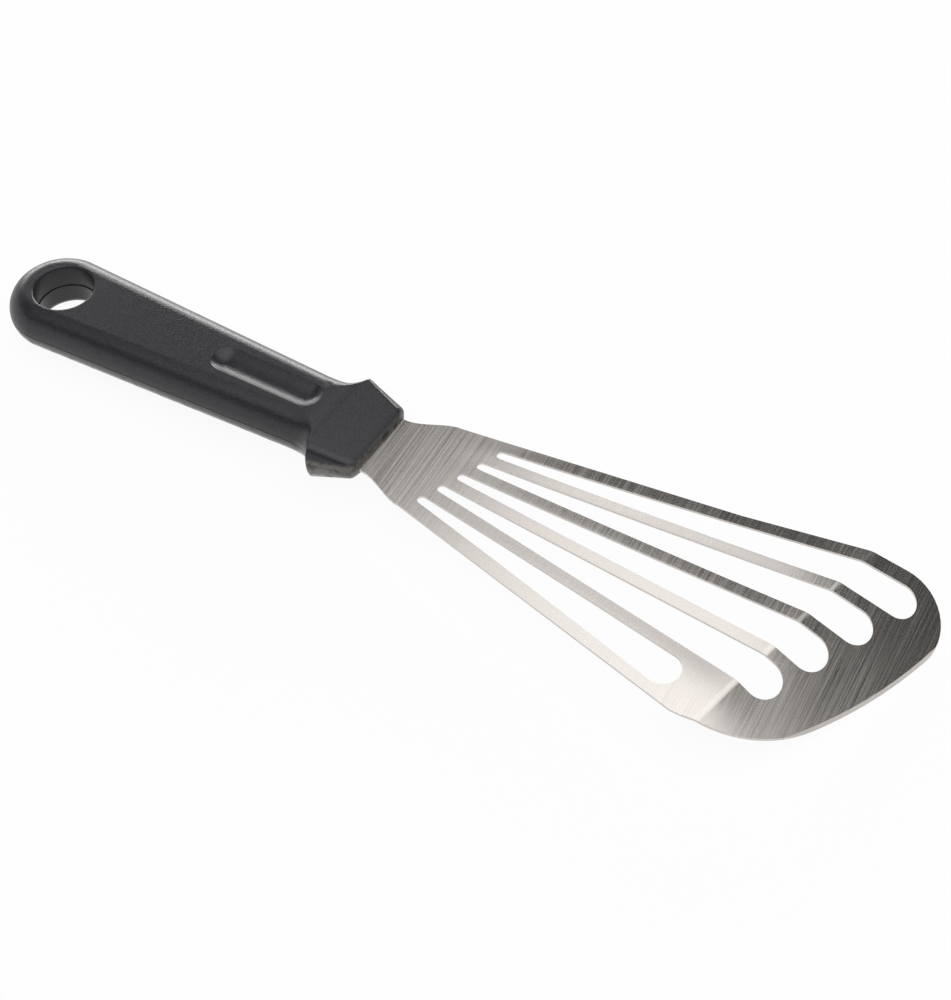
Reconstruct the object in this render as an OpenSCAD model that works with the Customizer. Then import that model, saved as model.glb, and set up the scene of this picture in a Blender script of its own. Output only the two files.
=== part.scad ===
// Fish spatula lying on a table: a slotted sheet-steel blade with its tang moulded into a plastic handle.
// Built with the handle's middle plane level, then tipped until the tip and the butt both touch z = 0.

/* [Blade] */
// Thickness of the steel sheet
blade_t = 0.8; // [0.6:0.1:1.4]
// Width of the neck where it leaves the handle
neck_w = 23.2; // [20:0.2:26]
// Depth to which the neck is let into the handle
neck_seat = 1.5; // [1:0.1:3]
// Straight length of the neck before it flares
neck_len = 1; // [0.5:0.5:6]
// Length over which the neck flares to the sides
flare_len = 17; // [12:0.5:20]
// Half width of the near side where its straight edge starts
near_side_y = 16.9; // [16:0.1:19]
// How much the near side widens for each mm of length
near_side_slope = 0.2093; // [0.15:0.005:0.23]
// Half width of the far side where its straight edge starts
far_side_y = 17.5; // [16.5:0.1:20]
// How much the far side widens for each mm of length
far_side_slope = 0.159; // [0.13:0.001:0.19]
// Distance from the handle to the start of the tip's large near corner
near_corner_x = 120.4; // [118:0.2:124]
// Distance from the handle to the small bend in the far edge
far_bend_x = 104; // [60:1:120]
// Radius of the large near corner of the tip
near_corner_r = 40.4; // [37:0.2:44]
// Radius of the slightly curved front edge
front_r = 160; // [120:5:220]
// Radius of the small far corner of the tip
far_corner_r = 15.4; // [13:0.1:18]
// Downward slope of the blade from the handle, in degrees
blade_drop = 2.35; // [0:0.05:4]
// Distance from the handle to the crease on the centre line
crease_x = 134.7; // [130:0.1:138]
// Slant of the crease across the blade, in degrees
crease_slant = 10.3; // [6:0.1:14]
// Angle of the bend at the crease, in degrees
bend_angle = 26.6; // [15:0.2:35]
// Inside radius of the bend
bend_r = 4; // [2:0.5:6]
// Direction of the edge where the near corner runs into the front edge, in degrees
front_heading = 61; // [58:0.5:64]
// Direction of the edge where the front edge runs into the far corner, in degrees
far_heading = 76.5; // [74:0.5:79]
// Direction of the edge where the far corner ends, in degrees
back_heading = 191.5; // [189:0.5:194]
// Width of the slope ground on the front edge
ground_w = 1; // [0.5:0.1:2]
// Thickness left at the ground front edge
ground_t = 0.3; // [0.2:0.05:0.5]

/* [Slots] */
// Number of slots
slot_count = 5; // [3:1:5]
// Place of the first slot's narrow end along the blade
slot_root_x = 33; // [30:0.2:40]
// Place of the first slot's narrow end across the blade
slot_root_y = 14.7; // [14:0.1:15.2]
// Step of the narrow ends along the blade, from one slot to the next
slot_root_dx = -2.6; // [-4:0.1:0]
// Step of the narrow ends across the blade
slot_root_dy = -6.6; // [-7:0.1:-6.2]
// Place of the first slot's wide end along the blade
slot_end_x = 155.9; // [150:0.1:157]
// Place of the first slot's wide end across the blade
slot_end_y = 31.9; // [30.5:0.1:33]
// Step of the wide ends along the blade
slot_end_dx = -6.5; // [-8:0.1:-4]
// Step of the wide ends across the blade
slot_end_dy = -15.6; // [-16:0.1:-15]
// Radius of the narrow ends
slot_root_r = 1.45; // [1:0.05:2]
// Radius of the first slot's wide end
slot_end_r = 5.4; // [4.5:0.1:6]
// Growth of the wide end's radius from one slot to the next
slot_end_grow = 0.23; // [0:0.01:0.3]
// Sideways bow of the first slot at its middle
slot_bow = -0.7; // [-1:0.1:1]
// Change of the bow from one slot to the next
slot_bow_step = 0.25; // [0:0.05:0.4]
// How much shorter the last slot is than its neighbours' line
last_slot_short = 18.4; // [12:0.2:26]

/* [Tang] */
// Length of the tang inside the handle
tang_len = 72; // [62:1:90]
// Width of the tang
tang_w = 15; // [10:0.5:18]
// Radius of the two locking holes in the tang
lock_hole_r = 2.5; // [1.5:0.1:3.5]
// Distance from the handle's front to the first locking hole
lock_hole_x = 25; // [15:1:30]
// Distance from the first locking hole to the second
lock_hole_step = 29; // [15:1:35]

/* [Handle] */
// Distance from the handle's front to the middle of the hanging hole
hole_x = 119.9; // [100:0.1:140]
// Radius of the hanging hole above the parting line
hole_r = 9.6; // [7:0.1:11]
// Ledge of the hanging hole at the parting line
hole_ledge = 0.3; // [0.2:0.1:1.5]
// Rounding of the hanging hole's upper rim
hole_top_round = 0.8; // [0.3:0.1:2]
// Rounding of the hanging hole's lower rim
hole_under_round = 2.8; // [0.5:0.1:3.5]
// Offset of the round butt's centre behind the hanging hole
butt_offset = 1.9; // [0:0.1:4]
// Radius of the butt seen from above
butt_r = 17; // [15:0.1:20]
// Half thickness of the grip
half_h = 8; // [6:0.1:9]
// Width of the rounded side of the grip, seen from above
edge_w = 6.9; // [4:0.1:7]
// Half width of the grip's narrow end
waist_half_w = 13; // [12:0.1:14]
// Distance from the front to the grip's narrow end
waist_x = 26; // [23:0.5:32]
// Distance from the front to the bolster's ridge
ridge_x = 14.4; // [12:0.2:18]
// Half width of the bolster at its ridge
ridge_half_w = 18; // [16:0.1:19]
// Height of the bolster's ridge above the blade
ridge_h = 6.3; // [5.5:0.1:7.5]
// Depth of the bolster's ridge below the blade
ridge_depth = 7.6; // [6:0.1:8]
// Distance from the front to the bolster's collar
collar_x = 1.5; // [1:0.1:3]
// Half width of the bolster at its collar
collar_half_w = 14.7; // [14:0.1:16]
// Height of the collar above the blade
collar_h = 2.7; // [2:0.1:4]
// Depth of the collar below the blade
collar_depth = 4.4; // [3:0.1:6]
// Width of the rim round the blade, beside the neck
rim_w = 0.8; // [0.5:0.1:2]
// Height of the rim above the blade
rim_h = 1.9; // [1:0.1:2.4]
// Depth of the rim below the blade
rim_depth = 2.8; // [1.8:0.1:4]
// Width of the bolster's rounded side, seen from above
bolster_edge_w = 3.3; // [2:0.1:5]

/* [Thumb groove] */
// Distance from the front to the groove's forward end
groove_x1 = 21; // [19:0.5:24]
// Distance from the front to the groove's rear end
groove_x2 = 60.5; // [50:0.5:70]
// Width of the groove
groove_w = 10; // [7:0.2:12]
// Depth of the groove
groove_d = 1.7; // [1:0.1:2.2]

/* [Hidden] */
corner_steps = 14;
far_steps = 12;
flare_steps = 8;
slot_steps = 24;
slot_end_steps = 16;
slot_root_steps = 6;
bend_steps = 8;
side_steps = 8;
butt_steps = 20;
fillet_steps = 12;
fillet_power = 4;
rim_steps = 6;
big = 400;
cut_over = 1;
$fn = 96;

// Flat pattern of the blade. A heading is the edge's direction of travel, and out() points away from the
// blade there.
neck_half = neck_w / 2;
side_x0 = neck_len + flare_len;
function lerp(a, b, t) = a + (b - a) * t;
function near_y(x) = -near_side_y - near_side_slope * (x - side_x0);
function far_y(x) = far_side_y + far_side_slope * (x - side_x0);
function ease(t) = t * t * (3 - 2 * t);
function flare(i, side, sgn) =
    let (t = i / flare_steps, x = neck_len + flare_len * t)
    [x, lerp(sgn * neck_half, side, ease(t))];
function out(h) = [sin(h), -cos(h)];
function arc(c, r, a, b) = [for (i = [0:corner_steps - 1]) c + r * out(lerp(a, b, i / corner_steps))];
near_c = [near_corner_x, near_y(near_corner_x) + near_corner_r];
front_c = near_c + (near_corner_r - front_r) * out(front_heading);
far_c = front_c + (front_r - far_corner_r) * out(far_heading);
far_end = far_c + far_corner_r * out(back_heading);
far_bend = [far_bend_x, far_y(far_bend_x)];
tip_edge = concat(arc(near_c, near_corner_r, 0, front_heading),
                  arc(front_c, front_r, front_heading, far_heading),
                  arc(far_c, far_corner_r, far_heading, back_heading),
                  [for (i = [0:far_steps]) lerp(far_end, far_bend, i / far_steps)]);
outline = concat([[-neck_seat, -neck_half]],
                 [for (i = [0:flare_steps]) flare(i, near_y(side_x0), -1)],
                 tip_edge,
                 [for (i = [flare_steps:-1:0]) flare(i, far_y(side_x0), 1)],
                 [[-neck_seat, neck_half]]);

// Slots in the flat pattern: each widens evenly along a slightly bowed axis
function slot_root(k) = [slot_root_x + k * slot_root_dx, slot_root_y + k * slot_root_dy];
function slot_full(k) = [slot_end_x + k * slot_end_dx, slot_end_y + k * slot_end_dy];
function slot_cut(k) = k == slot_count - 1 ? 1 - last_slot_short / norm(slot_full(k) - slot_root(k)) : 1;
function slot_end(k) = lerp(slot_root(k), slot_full(k), slot_cut(k));
function slot_wide_r(k) = lerp(slot_root_r, slot_end_r + k * slot_end_grow, slot_cut(k));
function slot_angle(k) = let (d = slot_end(k) - slot_root(k)) atan2(d[1], d[0]);
function ray(a) = [cos(a), sin(a)];
function slot_edge(k, t, sgn) = lerp(slot_root(k), slot_end(k), t) + ray(slot_angle(k) + 90)
    * (sgn * lerp(slot_root_r, slot_wide_r(k), t) + 4 * (slot_bow + k * slot_bow_step) * t * (1 - t));
function half_turn(c, r, a, n) = [for (i = [1:n - 1]) c + r * ray(a + 180 * i / n)];
function slot_outline(k) = concat(
    [for (i = [0:slot_steps]) slot_edge(k, i / slot_steps, -1)],
    half_turn(slot_end(k), slot_wide_r(k), slot_angle(k) - 90, slot_end_steps),
    [for (i = [slot_steps:-1:0]) slot_edge(k, i / slot_steps, 1)],
    half_turn(slot_root(k), slot_root_r, slot_angle(k) + 90, slot_root_steps));

// The bend: distances past the crease run along the sheet's top face, and fold() takes one to [forward, up]
top_r = bend_r + blade_t;
tangent = top_r * tan(bend_angle / 2);
bend_len = top_r * bend_angle * PI / 180;
function past_crease(p) = (p[0] - crease_x) * cos(crease_slant) - p[1] * sin(crease_slant);
function along_crease(p) = (p[0] - crease_x) * sin(crease_slant) + p[1] * cos(crease_slant);
function fold(d) =
    let (s = d + tangent, a = min(s, bend_len) / bend_len * bend_angle, rest = max(s - bend_len, 0))
    s < 0 ? [d, 0] : [-tangent + top_r * sin(a) + rest * cos(a), top_r * (cos(a) - 1) - rest * sin(a)];
tip_len = max([for (p = tip_edge) past_crease(p)]);
function plan(p) =
    let (f = fold(past_crease(p))[0], c = along_crease(p))
    [crease_x + f * cos(crease_slant) + c * sin(crease_slant), c * cos(crease_slant) - f * sin(crease_slant)];

function bend_point(r, a) = [r * sin(a) - tangent, r * cos(a) - top_r];
bend_end = bend_point(top_r, bend_angle);
bend_profile = concat([[-big, -blade_t], [-big, 0]],
    [for (i = [0:bend_steps]) bend_point(top_r, bend_angle * i / bend_steps)],
    [bend_end + tip_len * ray(-bend_angle)],
    [bend_point(bend_r, bend_angle) + tip_len * ray(-bend_angle)],
    [for (i = [bend_steps:-1:0]) bend_point(bend_r, bend_angle * i / bend_steps)]);

module bent_plate() {
    translate([crease_x, 0, 0]) rotate([0, 0, -crease_slant]) rotate([90, 0, 0])
        linear_extrude(big, center = true) polygon(bend_profile);
}

module tang_plan() {
    difference() {
        translate([-tang_len, -tang_w / 2]) square([tang_len, tang_w]);
        for (x = [lock_hole_x, lock_hole_x + lock_hole_step])
            translate([-x, 0]) circle(r = lock_hole_r);
    }
}

// Slope ground on the top of the front edge: what lies outside a cone that stands on the tip's face.
// The outline is cut straight down, so at the slope's foot it lies a little further out than on the face.
module front_grinding() {
    depth = blade_t - ground_t;
    foot_r = front_r + depth * tan(bend_angle);
    cone_h = depth + cut_over;
    translate([crease_x, 0, 0]) rotate([0, 0, -crease_slant])
        translate([bend_end[0], 0, bend_end[1]]) rotate([0, bend_angle, 0])
            translate([past_crease(front_c) + tangent - bend_len, along_crease(front_c), -depth])
                difference() {
                    cylinder(r = foot_r + ground_w, h = cone_h, $fn = 360);
                    cylinder(r1 = foot_r, r2 = foot_r - ground_w * cone_h / depth, h = cone_h, $fn = 360);
                }
}

module blade_solid() {
    rotate([0, blade_drop, 0]) difference() {
        intersection() {
            bent_plate();
            translate([0, 0, -tip_len]) linear_extrude(tip_len + cut_over) union() {
                difference() {
                    polygon([for (p = outline) plan(p)]);
                    for (k = [0:slot_count - 1])
                        polygon([for (p = slot_outline(k)) plan(p)]);
                }
                tang_plan();
            }
        }
        front_grinding();
    }
}

// Pocket in the handle for the tang and for the first bit of the neck
module pocket() {
    rotate([0, blade_drop, 0]) translate([0, 0, -blade_t]) linear_extrude(blade_t) {
        tang_plan();
        translate([-neck_seat, -neck_half]) square([2 * neck_seat, neck_w]);
    }
}

// Handle: rings of points from the front to the butt, each a flat top, two round sides and a flat bottom
butt_x = -hole_x - butt_offset;
butt_turn = 180 / (2 * butt_steps + 1);
function side_pt(k, e, up, down) =
    let (a = 90 - 90 * k / side_steps)
    [e * cos(a), (a < 0 ? down : up) * sin(a)];
function ring(x, w, up, down, e, dir) = [for (sgn = [1, -1], k = [0:2 * side_steps])
    let (p = side_pt(sgn > 0 ? k : 2 * side_steps - k, e, up, down), r = w - e + p[0])
    [x + dir[0] * r, sgn * dir[1] * r, p[1]]];
bolster_rings = [
    ring(0, neck_half + rim_w, rim_h, rim_depth, bolster_edge_w, [0, 1]),
    ring(-collar_x, collar_half_w, collar_h, collar_depth, bolster_edge_w, [0, 1]),
    ring(-ridge_x, ridge_half_w, ridge_h, ridge_depth, bolster_edge_w, [0, 1])];
fillet_rings = [for (i = [1:fillet_steps])
    let (t = i / fillet_steps, s = 1 - pow(1 - t, fillet_power))
    ring(-lerp(ridge_x, waist_x, t), lerp(ridge_half_w, waist_half_w, s), lerp(ridge_h, half_h, s),
         lerp(ridge_depth, half_h, s), lerp(bolster_edge_w, edge_w, s), [0, 1])];
butt_rings = [for (i = [0:butt_steps])
    let (a = 90 + butt_turn * i)
    ring(butt_x, butt_r, half_h, half_h, edge_w, [cos(a), sin(a)])];
rings = concat(bolster_rings, fillet_rings, butt_rings);
ring_n = 4 * side_steps + 2;
function at(i, k) = i * ring_n + (k % ring_n);
last = len(rings) - 1;
skin = [for (i = [0:last - 1], k = [0:ring_n - 1], f = [0, 1])
    f == 0 ? [at(i, k), at(i + 1, k), at(i + 1, k + 1)] : [at(i, k), at(i + 1, k + 1), at(i, k + 1)]];
function mirror_k(k) = ring_n - 1 - k;
function ladder(i, flip) = [for (k = [0:2 * side_steps - 1], f = [0, 1])
    let (a = at(i, k), b = at(i, k + 1), c = at(i, mirror_k(k + 1)), d = at(i, mirror_k(k)),
         t = f == 0 ? [a, b, c] : [a, c, d]) flip ? [t[2], t[1], t[0]] : t];

module handle_body() {
    polyhedron(points = [for (r = rings, p = r) p],
               faces = concat(skin, ladder(0, false), ladder(last, true)));
}

// Half of the hanging hole, from the parting line out to its rounded rim
module hole_half(r, round) {
    rotate_extrude() polygon(concat(
        [[0, -hole_ledge], [r, -hole_ledge]],
        [for (i = [0:rim_steps]) [r + round, half_h - round] + round * ray(180 - 90 * i / rim_steps)],
        [[r + round, half_h + cut_over], [0, half_h + cut_over]]));
}

module hole() {
    translate([-hole_x, 0, 0]) {
        intersection() {
            hole_half(hole_r, hole_top_round);
            cylinder(r = 2 * hole_r, h = 2 * half_h);
        }
        mirror([0, 0, 1]) hole_half(hole_r - hole_ledge, hole_under_round);
    }
}

groove_r = (groove_w * groove_w / 4 + groove_d * groove_d) / (2 * groove_d);
groove_z = half_h - groove_d + groove_r;
groove_tip = groove_w / 2;

module groove() {
    translate([-groove_x1 - groove_tip, 0, groove_z]) rotate([0, -90, 0])
        cylinder(r = groove_r, h = groove_x2 - groove_x1 - 2 * groove_tip);
    for (x = [groove_x1 + groove_tip, groove_x2 - groove_tip])
        translate([-x, 0, groove_z]) sphere(r = groove_r);
}

// Rest: the whole spatula turns until the lowest points of its tip and its butt are level. Points are [x, z]
function turn(p, a) = [p[0] * cos(a) + p[1] * sin(a), p[1] * cos(a) - p[0] * sin(a)];
function tip_point(p, t) = turn([plan(p)[0], fold(past_crease(p))[1] - t / cos(bend_angle)], blade_drop);
tip_points = [for (p = tip_edge, t = [0, blade_t]) if (past_crease(p) > tangent) tip_point(p, t)];
butt_points = [for (p = rings[last]) [p[0], p[2]]];
function height(p, t) = turn(p, -t)[1];
function gap(t) = min([for (p = tip_points) height(p, t)]) - min([for (p = butt_points) height(p, t)]);
function solve(lo, hi, n) =
    let (m = (lo + hi) / 2)
    n == 0 ? m : gap(m) < 0 ? solve(m, hi, n - 1) : solve(lo, m, n - 1);
rest_tilt = solve(-5, 15, 30);
rest_z = min([for (p = butt_points) height(p, rest_tilt)]);
tip_reach = max([for (p = tip_points) turn(p, -rest_tilt)[0]]);
butt_reach = min([for (p = butt_points) turn(p, -rest_tilt)[0]]);
near_reach = min([for (p = outline) plan(p)[1]]);
far_reach = max([for (p = outline) plan(p)[1]]);

module at_rest() {
    translate([-(tip_reach + butt_reach) / 2, -(near_reach + far_reach) / 2, -rest_z])
        rotate([0, -rest_tilt, 0]) children();
}

module blade() {
    color("silver") at_rest() blade_solid();
}

module handle() {
    color("dimgray") at_rest() difference() {
        handle_body();
        hole();
        groove();
        pocket();
    }
}

blade();
handle();
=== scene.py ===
import math

import bmesh
import bpy
from mathutils import Matrix, Vector


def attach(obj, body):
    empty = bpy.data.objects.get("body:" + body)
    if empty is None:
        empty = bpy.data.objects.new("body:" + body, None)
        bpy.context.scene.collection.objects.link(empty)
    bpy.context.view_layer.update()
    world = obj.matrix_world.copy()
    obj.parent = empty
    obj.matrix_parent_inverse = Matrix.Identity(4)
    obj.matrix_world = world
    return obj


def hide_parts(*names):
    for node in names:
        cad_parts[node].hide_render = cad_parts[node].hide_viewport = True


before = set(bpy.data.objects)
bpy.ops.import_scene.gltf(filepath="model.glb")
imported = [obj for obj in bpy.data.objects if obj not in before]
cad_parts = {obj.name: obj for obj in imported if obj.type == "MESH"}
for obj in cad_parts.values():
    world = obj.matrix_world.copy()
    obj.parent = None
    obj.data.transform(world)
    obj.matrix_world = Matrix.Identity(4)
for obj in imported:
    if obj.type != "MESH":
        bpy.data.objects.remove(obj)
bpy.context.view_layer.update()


# Each CAD solid is dressed as the real piece: its faces are merged and shaded smooth, and its edges get
# the small rounding that deburring or a mould leaves. The work is done lying level, as the part is drawn,
# and the spatula is then tipped until its tip and its butt touch the table.
merge_distance, same_plane = 0.000002, math.radians(0.3)
rest_tilt = math.radians(2.70409)
level_to_rest = Matrix.Translation((-0.014989, -0.001793, 0.0142135)) @ Matrix.Rotation(-rest_tilt, 4, "Y")


def node(material, kind, **settings):
    made = material.node_tree.nodes.new(kind)
    for name, value in settings.items():
        setattr(made, name, value)
    return made


def new_material(name):
    material = bpy.data.materials.new(name)
    material.use_nodes = True
    shader = material.node_tree.nodes["Principled BSDF"]
    return material, shader, material.node_tree.links.new


def level_copy(source):
    shape = bmesh.new()
    shape.from_mesh(source.data)
    shape.transform(source.matrix_world)
    shape.transform(level_to_rest.inverted())
    bmesh.ops.remove_doubles(shape, verts=shape.verts, dist=merge_distance)
    bmesh.ops.dissolve_limit(shape, angle_limit=same_plane, verts=shape.verts, edges=shape.edges)
    shape.normal_update()
    return shape


def round_edges(shape, edges, width, segments):
    bmesh.ops.bevel(shape, geom=list(edges), offset=width, offset_type="OFFSET", segments=segments,
                    profile=0.5, affect="EDGES", clamp_overlap=True, material=-1)
    shape.normal_update()


def finished_piece(shape, name, material, sharp_degrees):
    for face in shape.faces:
        face.smooth = True
    for edge in shape.edges:
        edge.smooth = edge.calc_face_angle(0) < math.radians(sharp_degrees)
    shape.transform(level_to_rest)
    mesh = bpy.data.meshes.new(name)
    shape.to_mesh(mesh)
    shape.free()
    piece = bpy.data.objects.new(name, mesh)
    bpy.context.scene.collection.objects.link(piece)
    mesh.materials.append(material)
    evened = piece.modifiers.new("flat_faces_stay_flat", "WEIGHTED_NORMAL")
    evened.keep_sharp = True
    return piece


# The blade is one stamped sheet of stainless steel, 0.8 mm thick, blanked with its slots and its tang,
# then bent down at the slanting crease. It is brushed across its length before it is bent, and stamping
# leaves each rib between the slots with a slight twist, by turns one way and the other. The slots fan out
# from one point behind the neck, so a rib's place in the fan follows from two directions from that point.
steel, shader, link = new_material("brushed_stainless_steel")
shader.inputs["Metallic"].default_value = 1.0
shader.inputs["Anisotropic"].default_value = 0.6
across_brush = node(steel, "ShaderNodeCombineXYZ")
across_brush.inputs["X"].default_value = 0.996
across_brush.inputs["Y"].default_value = -0.087
link(across_brush.outputs["Vector"], shader.inputs["Tangent"])
place = node(steel, "ShaderNodeTexCoord")
brush_angle = node(steel, "ShaderNodeMapping")
brush_angle.inputs["Rotation"].default_value = (0, 0, math.radians(-5))
link(place.outputs["Object"], brush_angle.inputs["Vector"])
brush_stretch = node(steel, "ShaderNodeMapping")
brush_stretch.inputs["Scale"].default_value = (3600, 30, 30)
link(brush_angle.outputs["Vector"], brush_stretch.inputs["Vector"])
brush_lines = node(steel, "ShaderNodeTexNoise")
brush_lines.inputs["Scale"].default_value = 1.0
brush_lines.inputs["Detail"].default_value = 4.0
link(brush_stretch.outputs["Vector"], brush_lines.inputs["Vector"])
line_tone = node(steel, "ShaderNodeMapRange")
line_tone.inputs["From Min"].default_value = 0.3
line_tone.inputs["From Max"].default_value = 0.7
line_tone.inputs["To Min"].default_value = 0.14
line_tone.inputs["To Max"].default_value = 0.24
link(brush_lines.outputs["Fac"], line_tone.inputs["Value"])
link(line_tone.outputs["Result"], shader.inputs["Roughness"])
steel_colour = node(steel, "ShaderNodeMix", data_type="RGBA")
steel_colour.inputs[6].default_value = (0.485, 0.455, 0.43, 1)
steel_colour.inputs[7].default_value = (0.67, 0.635, 0.60, 1)
line_contrast = node(steel, "ShaderNodeMapRange")
line_contrast.inputs["From Min"].default_value = 0.22
line_contrast.inputs["From Max"].default_value = 0.78
link(brush_lines.outputs["Fac"], line_contrast.inputs["Value"])
link(line_contrast.outputs["Result"], steel_colour.inputs[0])
link(steel_colour.outputs[2], shader.inputs["Base Color"])
from_fan_centre = node(steel, "ShaderNodeVectorMath", operation="SUBTRACT")
from_fan_centre.inputs[1].default_value = (-0.0705, 0.0005, 0)
link(place.outputs["Object"], from_fan_centre.inputs[0])
fan_side = node(steel, "ShaderNodeVectorMath", operation="DOT_PRODUCT")
fan_side.inputs[1].default_value = (17.2, -122.9, 0)
link(from_fan_centre.outputs["Vector"], fan_side.inputs[0])
fan_reach = node(steel, "ShaderNodeVectorMath", operation="DOT_PRODUCT")
fan_reach.inputs[1].default_value = (9.0, -3.9, 0)
link(from_fan_centre.outputs["Vector"], fan_reach.inputs[0])
slot_number = node(steel, "ShaderNodeMath", operation="DIVIDE")
link(fan_side.outputs["Value"], slot_number.inputs[0])
link(fan_reach.outputs["Value"], slot_number.inputs[1])
half_turns = node(steel, "ShaderNodeMath", operation="MULTIPLY")
half_turns.inputs[1].default_value = math.pi
link(slot_number.outputs["Value"], half_turns.inputs[0])
wave = node(steel, "ShaderNodeMath", operation="COSINE")
link(half_turns.outputs["Value"], wave.inputs[0])
twist = node(steel, "ShaderNodeMath", operation="MULTIPLY")
link(wave.outputs["Value"], twist.inputs[0])
link(fan_reach.outputs["Value"], twist.inputs[1])
along = node(steel, "ShaderNodeSeparateXYZ")
link(place.outputs["Object"], along.inputs["Vector"])
before_tip = node(steel, "ShaderNodeMapRange", interpolation_type="SMOOTHSTEP")
before_tip.inputs["From Min"].default_value = 0.105
before_tip.inputs["From Max"].default_value = 0.135
before_tip.inputs["To Min"].default_value = 0.000055
before_tip.inputs["To Max"].default_value = 0.0
link(along.outputs["X"], before_tip.inputs["Value"])
past_neck = node(steel, "ShaderNodeMapRange", interpolation_type="SMOOTHSTEP")
past_neck.inputs["From Min"].default_value = 0.0
past_neck.inputs["From Max"].default_value = 0.045
link(along.outputs["X"], past_neck.inputs["Value"])
rib_twist = node(steel, "ShaderNodeMath", operation="MULTIPLY")
link(twist.outputs["Value"], rib_twist.inputs[0])
link(past_neck.outputs["Result"], rib_twist.inputs[1])
twist_height = node(steel, "ShaderNodeMath", operation="MULTIPLY")
link(rib_twist.outputs["Value"], twist_height.inputs[0])
link(before_tip.outputs["Result"], twist_height.inputs[1])
rib_bump = node(steel, "ShaderNodeBump")
rib_bump.inputs["Strength"].default_value = 1.0
rib_bump.inputs["Distance"].default_value = 1.0
link(twist_height.outputs["Value"], rib_bump.inputs["Height"])
brush_bump = node(steel, "ShaderNodeBump")
brush_bump.inputs["Strength"].default_value = 0.03
brush_bump.inputs["Distance"].default_value = 0.00003
link(brush_lines.outputs["Fac"], brush_bump.inputs["Height"])
link(rib_bump.outputs["Normal"], brush_bump.inputs["Normal"])
link(brush_bump.outputs["Normal"], shader.inputs["Normal"])
blade_shape = level_copy(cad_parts["blade"])
outside_handle, deburred = 0.0001, 0.00012
cut_edges = [edge for edge in blade_shape.edges
             if edge.calc_face_angle(0) > math.radians(50)
             and max(vert.co.x for vert in edge.verts) > outside_handle]
round_edges(blade_shape, cut_edges, deburred, 2)
blade = finished_piece(blade_shape, "slotted_blade", steel, 15)
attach(blade, "root")
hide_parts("blade")


# The handle is one moulding of dark plastic round the blade's tang, with a fine spark-eroded texture
# from its mould. The mould's two halves meet in the parting line round its middle, and every edge that
# a hand meets is softly rounded: the thumb groove's rim and the bolster's collar.
plastic, shader, link = new_material("dark_moulded_plastic")
place = node(plastic, "ShaderNodeTexCoord")
seam_normal = level_to_rest.to_3x3() @ Vector((0, 0, 1))
seam_height = seam_normal.dot(level_to_rest.translation)
over_seam = node(plastic, "ShaderNodeVectorMath", operation="DOT_PRODUCT")
over_seam.inputs[1].default_value = seam_normal
link(place.outputs["Object"], over_seam.inputs[0])
under_seam = node(plastic, "ShaderNodeMapRange")
under_seam.inputs["From Min"].default_value = seam_height - 0.0012
under_seam.inputs["From Max"].default_value = seam_height - 0.0001
under_seam.inputs["To Min"].default_value = 1.0
under_seam.inputs["To Max"].default_value = 0.0
link(over_seam.outputs["Value"], under_seam.inputs["Value"])
# One set of noise spots does two jobs. It makes the plastic glossier below the parting line, and it places
# a painted reflection on the bolster.
gloss_and_painted_reflection_noise = node(plastic, "ShaderNodeTexNoise")
gloss_and_painted_reflection_noise.inputs["Scale"].default_value = 420
gloss_and_painted_reflection_noise.inputs["Detail"].default_value = 5.0
link(place.outputs["Object"], gloss_and_painted_reflection_noise.inputs["Vector"])
gloss_and_painted_reflection_spots = node(plastic, "ShaderNodeMapRange")
gloss_and_painted_reflection_spots.inputs["From Min"].default_value = 0.34
gloss_and_painted_reflection_spots.inputs["From Max"].default_value = 0.52
link(gloss_and_painted_reflection_noise.outputs["Fac"], gloss_and_painted_reflection_spots.inputs["Value"])
gloss = node(plastic, "ShaderNodeMath", operation="MULTIPLY")
link(under_seam.outputs["Result"], gloss.inputs[0])
link(gloss_and_painted_reflection_spots.outputs["Result"], gloss.inputs[1])
finish = node(plastic, "ShaderNodeMapRange")
finish.inputs["To Min"].default_value = 0.34
finish.inputs["To Max"].default_value = 0.1
link(gloss.outputs["Value"], finish.inputs["Value"])
link(finish.outputs["Result"], shader.inputs["Roughness"])
grain = node(plastic, "ShaderNodeTexNoise")
grain.inputs["Scale"].default_value = 1900
grain.inputs["Detail"].default_value = 3.0
link(place.outputs["Object"], grain.inputs["Vector"])
speckle = node(plastic, "ShaderNodeMapRange")
speckle.inputs["From Min"].default_value = 0.35
speckle.inputs["From Max"].default_value = 0.65
link(grain.outputs["Fac"], speckle.inputs["Value"])
plastic_colour = node(plastic, "ShaderNodeMix", data_type="RGBA")
plastic_colour.inputs[6].default_value = (0.007, 0.0065, 0.0095, 1)
plastic_colour.inputs[7].default_value = (0.0235, 0.022, 0.0275, 1)
link(speckle.outputs["Result"], plastic_colour.inputs[0])
along = node(plastic, "ShaderNodeSeparateXYZ")
link(place.outputs["Object"], along.inputs["Vector"])
on_bolster = node(plastic, "ShaderNodeMapRange")
on_bolster.inputs["From Min"].default_value = -0.037
on_bolster.inputs["From Max"].default_value = -0.034
link(along.outputs["X"], on_bolster.inputs["Value"])
low_on_side = node(plastic, "ShaderNodeMapRange")
low_on_side.inputs["From Min"].default_value = seam_height + 0.0014
low_on_side.inputs["From Max"].default_value = seam_height + 0.0024
low_on_side.inputs["To Min"].default_value = 1.0
low_on_side.inputs["To Max"].default_value = 0.0
link(over_seam.outputs["Value"], low_on_side.inputs["Value"])
bolster_side = node(plastic, "ShaderNodeMath", operation="MULTIPLY")
link(on_bolster.outputs["Result"], bolster_side.inputs[0])
link(low_on_side.outputs["Result"], bolster_side.inputs[1])
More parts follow.
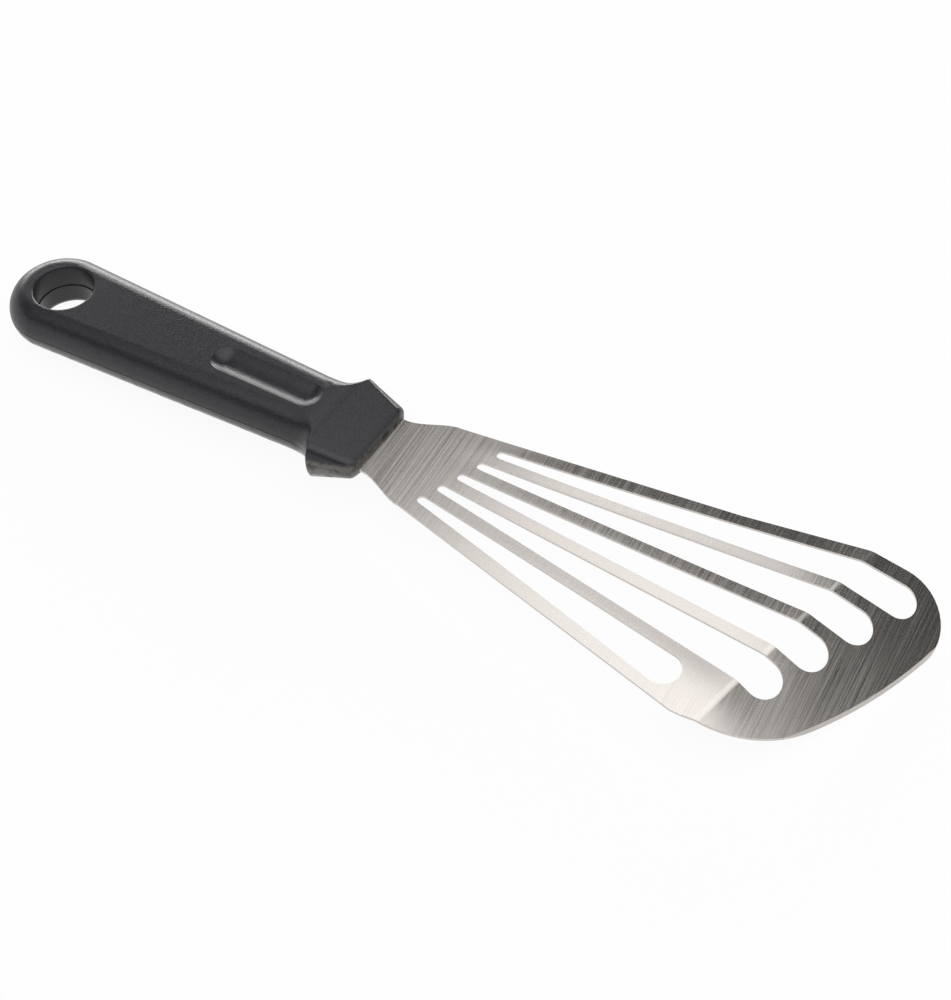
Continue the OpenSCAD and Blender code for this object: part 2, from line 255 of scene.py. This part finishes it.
# Painted reflection: in spots low on the bolster's near side, the base colour is mixed towards a pale
# beige that stands in for the table's light reflected there.
painted_reflection_patch = node(plastic, "ShaderNodeMath", operation="MULTIPLY")
link(bolster_side.outputs["Value"], painted_reflection_patch.inputs[0])
link(gloss_and_painted_reflection_spots.outputs["Result"], painted_reflection_patch.inputs[1])
plastic_with_painted_reflection = node(plastic, "ShaderNodeMix", data_type="RGBA")
plastic_with_painted_reflection.inputs[7].default_value = (0.115, 0.108, 0.095, 1)
link(painted_reflection_patch.outputs["Value"], plastic_with_painted_reflection.inputs[0])
link(plastic_colour.outputs[2], plastic_with_painted_reflection.inputs[6])
link(plastic_with_painted_reflection.outputs[2], shader.inputs["Base Color"])
grain_bump = node(plastic, "ShaderNodeBump")
grain_bump.inputs["Strength"].default_value = 0.5
grain_bump.inputs["Distance"].default_value = 0.00012
link(grain.outputs["Fac"], grain_bump.inputs["Height"])
link(grain_bump.outputs["Normal"], shader.inputs["Normal"])
hole_x, grip_half_height, collar_x = -0.1199, 0.008, -0.0015
groove_start, groove_end, groove_half_width = -0.062, -0.02, 0.0053
seam_half_width, seam_depth = 0.00014, 0.00016
hole_clear, bolster_clear, butt_start = 0.0125, 0.0122, -0.11
on_plane, at_seam = 0.00002, 0.000001
handle_shape = level_copy(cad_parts["handle"])
groove_rim = [edge for edge in handle_shape.edges
              if edge.calc_face_angle(0) > math.radians(25)
              and all(abs(vert.co.z - grip_half_height) < on_plane and abs(vert.co.y) < groove_half_width
                      and groove_start < vert.co.x < groove_end for vert in edge.verts)]
round_edges(handle_shape, groove_rim, 0.0006, 3)
collar = [edge for edge in handle_shape.edges
          if all(abs(vert.co.x - collar_x) < on_plane and abs(vert.co.y) > 0.001 for vert in edge.verts)
          and edge.calc_face_angle(0) > math.radians(12)]
round_edges(handle_shape, collar, 0.0009, 3)
for level in (seam_half_width, 0.0, -seam_half_width):
    everything = handle_shape.verts[:] + handle_shape.edges[:] + handle_shape.faces[:]
    bmesh.ops.bisect_plane(handle_shape, geom=everything, plane_co=(0, 0, level), plane_no=(0, 0, 1),
                           dist=0.0000001)
handle_shape.normal_update()
for vert in handle_shape.verts:
    away_from_hole = math.hypot(vert.co.x - hole_x, vert.co.y) > hole_clear
    on_outside = abs(vert.co.y) > bolster_clear or vert.co.x < butt_start
    if abs(vert.co.z) < at_seam and away_from_hole and on_outside:
        inward = Vector((-vert.normal.x, -vert.normal.y, 0)).normalized()
        vert.co += inward * seam_depth
handle_shape.normal_update()
handle = finished_piece(handle_shape, "handle_moulding", plastic, 34)
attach(handle, "root")
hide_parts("handle")


# The stand is a wide pale table that shows as white to the camera and in mirror images, and it keeps a
# faint shadow of the spatula.
bpy.ops.mesh.primitive_plane_add(size=12)
table = bpy.context.object
table.name = "table"
table_paint, shader, link = new_material("white_table")
shader.inputs["Base Color"].default_value = (0.9, 0.9, 0.9, 1)
shader.inputs["Roughness"].default_value = 0.9
white = node(table_paint, "ShaderNodeEmission")
rays = node(table_paint, "ShaderNodeLightPath")
seen = node(table_paint, "ShaderNodeMath", operation="MAXIMUM")
link(rays.outputs["Is Camera Ray"], seen.inputs[0])
link(rays.outputs["Is Transmission Ray"], seen.inputs[1])
seen_or_mirrored = node(table_paint, "ShaderNodeMath", operation="MAXIMUM")
link(seen.outputs["Value"], seen_or_mirrored.inputs[0])
link(rays.outputs["Is Glossy Ray"], seen_or_mirrored.inputs[1])
share = node(table_paint, "ShaderNodeMath", operation="MULTIPLY")
share.inputs[1].default_value = 0.93
link(seen_or_mirrored.outputs["Value"], share.inputs[0])
mixed = node(table_paint, "ShaderNodeMixShader")
link(share.outputs["Value"], mixed.inputs["Fac"])
link(shader.outputs["BSDF"], mixed.inputs[1])
link(white.outputs["Emission"], mixed.inputs[2])
link(mixed.outputs["Shader"], table_paint.node_tree.nodes["Material Output"].inputs["Surface"])
table.data.materials.append(table_paint)


# Studio light: a wide softbox hangs over the table, turned a little, and a long low strip behind it lights
# the handle's far edge. The room is dim, with a white sweep round the table.
world = bpy.data.worlds.new("studio")
bpy.context.scene.world = world
world.use_nodes = True
room = world.node_tree
surround = room.nodes["Background"]
direction = room.nodes.new("ShaderNodeTexCoord")
split = room.nodes.new("ShaderNodeSeparateXYZ")
room.links.new(direction.outputs["Generated"], split.inputs["Vector"])
height_tone = room.nodes.new("ShaderNodeValToRGB")
ramp = height_tone.color_ramp
ramp.elements[0].position = 0.0
ramp.elements[0].color = (1, 1, 1, 1)
ramp.elements[1].position = 1.0
ramp.elements[1].color = (0.12, 0.12, 0.12, 1)
for position, grey in ((0.25, 0.9), (0.42, 0.07), (0.72, 0.07)):
    stop = ramp.elements.new(position)
    stop.color = (grey, grey, grey, 1)
room.links.new(split.outputs["Z"], height_tone.inputs["Fac"])
rays = room.nodes.new("ShaderNodeLightPath")
seen = room.nodes.new("ShaderNodeMix")
seen.data_type = "RGBA"
seen.inputs[7].default_value = (1, 1, 1, 1)
room.links.new(rays.outputs["Is Camera Ray"], seen.inputs[0])
room.links.new(height_tone.outputs["Color"], seen.inputs[6])
room.links.new(seen.outputs[2], surround.inputs["Color"])
surround.inputs["Strength"].default_value = 1.0


def soft_lamp(name, place, aim, size, watts, turn=0.0):
    lamp_data = bpy.data.lights.new(name, "AREA")
    lamp_data.shape = "RECTANGLE"
    lamp_data.size, lamp_data.size_y = size
    lamp_data.energy = watts
    lamp = bpy.data.objects.new(name, lamp_data)
    bpy.context.scene.collection.objects.link(lamp)
    lamp.location = place
    facing = (Vector(aim) - Vector(place)).to_track_quat("-Z", "Y").to_matrix()
    lamp.rotation_euler = (Matrix.Rotation(math.radians(turn), 3, "Z") @ facing).to_euler()
    return lamp


soft_lamp("overhead_softbox", (0.101, -0.161, 1.2), (0.101, -0.161, 0), (1.74, 1.8), 16, turn=-12.6)
soft_lamp("low_back_strip", (-1.2, 1.65, 0.35), (-0.1, 0, 0), (2.4, 0.6), 38)


# The camera stands where the photograph's camera stood, with the same lens.
camera_data = bpy.data.cameras.new("camera")
camera_data.lens = 86.4
camera_data.clip_start = 0.01
camera = bpy.data.objects.new("camera", camera_data)
bpy.context.scene.collection.objects.link(camera)
bpy.context.scene.camera = camera
camera_place = Vector((0.27483, -0.37394, 0.54468))
camera_azimuth, camera_height, camera_roll = 34.573, 49.838, -2.147
camera.location = camera_place
camera.rotation_euler = (Matrix.Rotation(math.radians(camera_azimuth), 3, "Z")
                         @ Matrix.Rotation(math.radians(90 - camera_height), 3, "X")
                         @ Matrix.Rotation(math.radians(camera_roll), 3, "Z")).to_euler()

scene = bpy.context.scene
scene.view_settings.view_transform = "Standard"
